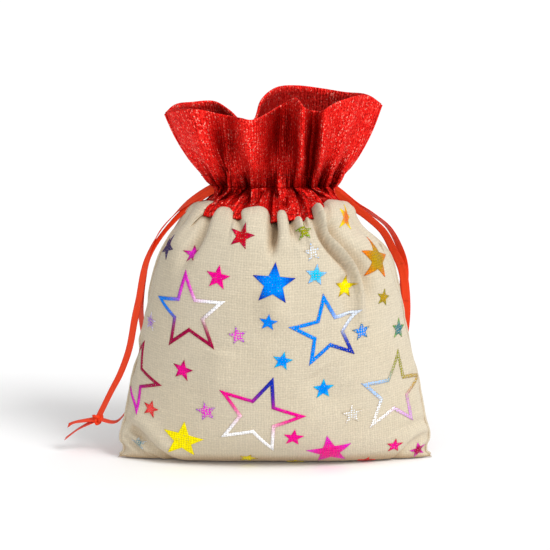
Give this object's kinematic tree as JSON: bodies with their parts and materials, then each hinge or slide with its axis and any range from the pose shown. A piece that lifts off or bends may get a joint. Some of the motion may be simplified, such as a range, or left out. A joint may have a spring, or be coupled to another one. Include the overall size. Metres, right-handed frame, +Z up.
{
  "type": "fabric gift sack",
  "caption": "Small filled drawstring gift pouch in natural cloth with a ruffled folded cuff, a cinched neck and knotted ribbon ties leaving both sides of the neck.",
  "frame": {"origin": "on the floor, in the middle of the bottom seam", "axes": "+Z up; the printed front faces -Y; +X is to the right seen from the front"},
  "size_m": [0.1781, 0.0716, 0.172],
  "materials": {
    "natural_cloth": "plain weave, matt",
    "cuff_cloth": "metallic glitter weave",
    "ribbon": "satin",
    "natural_thread": "matt",
    "red_thread": "satin"
  },
  "bodies": {
    "sack": {"front_panel": "natural_cloth", "back_panel": "natural_cloth", "left_side_seam": "natural_thread", "right_side_seam": "natural_thread", "bottom_seam": "natural_thread", "left_cuff_seam": "red_thread", "right_cuff_seam": "red_thread"},
    "front_mouth": {"front_gathered_top": "natural_cloth", "front_cuff": "cuff_cloth", "front_upper_stitches": "red_thread", "front_lower_stitches": "red_thread", "left_ribbon_front_run": "ribbon", "right_ribbon_front_run": "ribbon"},
    "back_mouth": {"back_gathered_top": "natural_cloth", "back_cuff": "cuff_cloth", "back_upper_stitches": "red_thread", "back_lower_stitches": "red_thread", "left_ribbon_back_run": "ribbon", "right_ribbon_back_run": "ribbon"},
    "left_run": {"left_ribbon_front_strand": "ribbon", "left_ribbon_back_strand": "ribbon"},
    "left_drop": {"left_ribbon_front_drop": "ribbon", "left_ribbon_back_drop": "ribbon"},
    "left_tail": {"left_ribbon_front_tail": "ribbon", "left_ribbon_back_tail": "ribbon", "left_knot": "ribbon", "left_ribbon_end_1": "ribbon", "left_ribbon_end_2": "ribbon"},
    "right_run": {"right_ribbon_front_strand": "ribbon", "right_ribbon_back_strand": "ribbon"},
    "right_drop": {"right_ribbon_front_drop": "ribbon", "right_ribbon_back_drop": "ribbon"},
    "right_tail": {"right_ribbon_front_tail": "ribbon", "right_ribbon_back_tail": "ribbon", "right_knot": "ribbon", "right_ribbon_end_1": "ribbon", "right_ribbon_end_2": "ribbon"}
  },
  "joints": [
    {"name": "mouth_opening", "type": "slide", "parent": "sack", "child": "front_mouth", "axis": [0, -1, 0], "range_m": [0, 0.014]},
    {"name": "back_mouth_opening", "type": "slide", "parent": "sack", "child": "back_mouth", "axis": [0, 1, 0], "range_m": [0, 0.014]},
    {"name": "left_ribbon_draw", "type": "hinge", "parent": "sack", "child": "left_run", "pos_m": [-0.02404, -0.00056, 0.0884], "axis": [0.1392, 0.9903, 0], "range_deg": [0, 35]},
    {"name": "left_ribbon_hang", "type": "hinge", "parent": "left_run", "child": "left_drop", "pos_m": [-0.0654, 0.00526, 0.08401], "axis": [0.1392, 0.9903, 0], "range_deg": [-35, 0]},
    {"name": "left_tail_swing", "type": "hinge", "parent": "left_drop", "child": "left_tail", "pos_m": [-0.07155, 0.00612, 0.062], "axis": [0.1392, 0.9903, 0], "range_deg": [-3, 70]},
    {"name": "right_ribbon_draw", "type": "hinge", "parent": "sack", "child": "right_run", "pos_m": [0.02438, -0.00169, 0.0884], "axis": [0.4226, -0.9063, 0], "range_deg": [0, 35]},
    {"name": "right_ribbon_hang", "type": "hinge", "parent": "right_run", "child": "right_drop", "pos_m": [0.06223, 0.01596, 0.08401], "axis": [0.4226, -0.9063, 0], "range_deg": [-35, 0]},
    {"name": "right_tail_swing", "type": "hinge", "parent": "right_drop", "child": "right_tail", "pos_m": [0.06474, 0.01713, 0.062], "axis": [0.4226, -0.9063, 0], "range_deg": [-3, 70]}
  ],
  "couplings": [
    {"joint": "back_mouth_opening", "follows": "mouth_opening", "ratio": 1},
    {"joint": "left_ribbon_draw", "follows": "mouth_opening", "rad_per_m": 32},
    {"joint": "left_ribbon_hang", "follows": "mouth_opening", "rad_per_m": -32},
    {"joint": "right_ribbon_draw", "follows": "mouth_opening", "rad_per_m": 32},
    {"joint": "right_ribbon_hang", "follows": "mouth_opening", "rad_per_m": -32}
  ]
}
